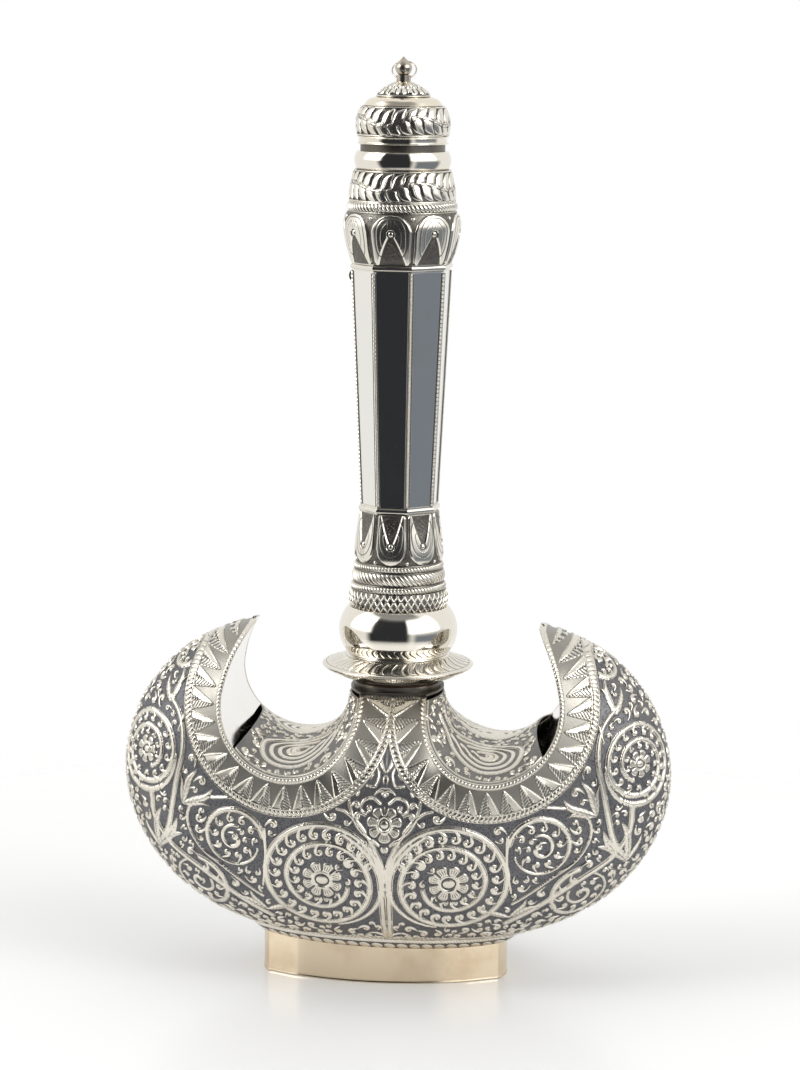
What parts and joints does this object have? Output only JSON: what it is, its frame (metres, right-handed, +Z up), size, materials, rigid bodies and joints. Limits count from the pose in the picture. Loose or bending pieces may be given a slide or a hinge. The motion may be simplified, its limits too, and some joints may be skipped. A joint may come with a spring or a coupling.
{
  "type": "rosewater sprinkler",
  "caption": "Silver rosewater sprinkler: a chased crescent flask with two horns on an oval foot, a long octagonal screw-in neck and a domed pull-off cap with a ring finial.",
  "frame": {"origin": "middle of the flask's outline in plan, on the plane that the foot stands on", "axes": "+Z up along the neck, +X towards the right horn, -Y towards the viewer of the chased front face"},
  "size_m": [0.149, 0.0684, 0.2487],
  "materials": {
    "chased_silver": "chased and oxidised silver, bright on the raised scrolls and near black in the stippled ground",
    "polished_silver": "mirror-polished silver with a warm cast and fine scratches",
    "warm_silver": "plain burnished silver, gold-tinted by age",
    "dark_silver": "plain tarnished silver",
    "washer_leather": "dark greased leather"
  },
  "bodies": {
    "flask": {"foot_ring": "warm_silver", "foot_border": "chased_silver", "front_shell": "chased_silver", "back_shell": "chased_silver", "notch_floor_left": "chased_silver", "notch_floor_right": "chased_silver", "horn_liner_left": "polished_silver", "horn_liner_right": "polished_silver", "seat_plate": "dark_silver", "neck_socket": "dark_silver"},
    "washer": {"neck_washer": "washer_leather"},
    "neck": {"neck_tenon": "dark_silver", "drip_pan_lower": "dark_silver", "drip_pan_upper": "chased_silver", "knop": "polished_silver", "lattice_ring": "chased_silver", "rope_ring_lower": "chased_silver", "rope_ring_wide": "chased_silver", "rope_ring_upper": "chased_silver", "petal_collar_lower": "chased_silver", "frame_lower": "polished_silver", "shaft": "polished_silver", "corner_strips": "chased_silver", "chain_lug": "dark_silver", "frame_upper": "polished_silver", "petal_collar_upper": "chased_silver", "rope_band": "chased_silver", "leaf_collar": "chased_silver", "shoulder_ring": "polished_silver", "mouth_tube": "dark_silver", "sprinkler_rose": "polished_silver"},
    "cap": {"cap_skirt": "polished_silver", "cap_leaf_band": "chased_silver", "cap_step": "warm_silver", "cap_rosette": "chased_silver", "finial_collar": "polished_silver", "finial_bud": "polished_silver"},
    "ring": {"finial_ring": "polished_silver"}
  },
  "joints": [
    {"name": "neck_rise", "type": "slide", "parent": "flask", "child": "washer", "axis": [0, 0, 1], "range_m": [0, 0.006]},
    {"name": "neck_turn", "type": "hinge", "parent": "washer", "child": "neck", "pos_m": [0, 0, 0.0812], "axis": [0, 0, 1], "range_deg": [0, 1080]},
    {"name": "cap_lift", "type": "slide", "parent": "neck", "child": "cap", "axis": [0, 0, 1], "range_m": [0, 0.016]},
    {"name": "ring_swing", "type": "hinge", "parent": "cap", "child": "ring", "pos_m": [0, 0, 0.2431], "axis": [1, 0, 0], "range_deg": [-60, 140]}
  ],
  "couplings": [
    {"joint": "neck_turn", "follows": "neck_rise", "rad_per_m": 3141.6}
  ]
}
